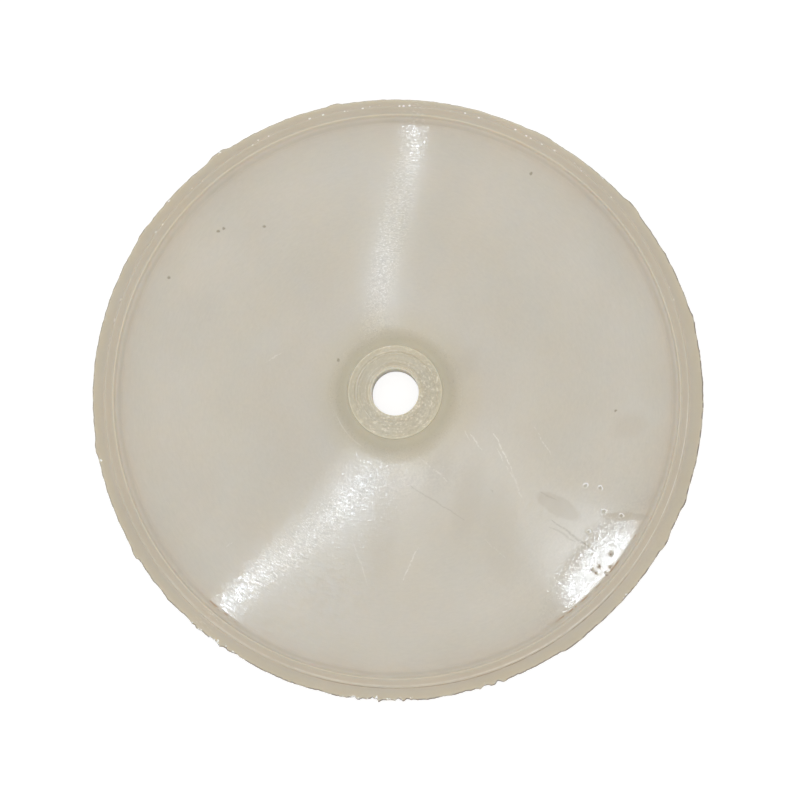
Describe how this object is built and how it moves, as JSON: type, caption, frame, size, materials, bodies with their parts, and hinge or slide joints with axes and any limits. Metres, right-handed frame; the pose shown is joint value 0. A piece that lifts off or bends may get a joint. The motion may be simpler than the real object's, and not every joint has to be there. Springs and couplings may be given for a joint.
{
  "type": "pump diaphragm",
  "caption": "Round moulded elastomer diaphragm with a thin flexing web, a raised sealing bead round its rim and a raised hub boss with a through bore.",
  "frame": {"origin": "centre of the bore in the plane of the flat underside", "axes": "+Z along the bore, out of the boss; +X and +Y in the plane of the disc, +X to the right and +Y to the top of the picture"},
  "size_m": [0.1086, 0.1078, 0.005],
  "materials": {
    "polyurethane": "translucent milky beige cast polyurethane with a fine turned sheen"
  },
  "bodies": {
    "root": {"diaphragm": "polyurethane"}
  },
  "joints": []
}
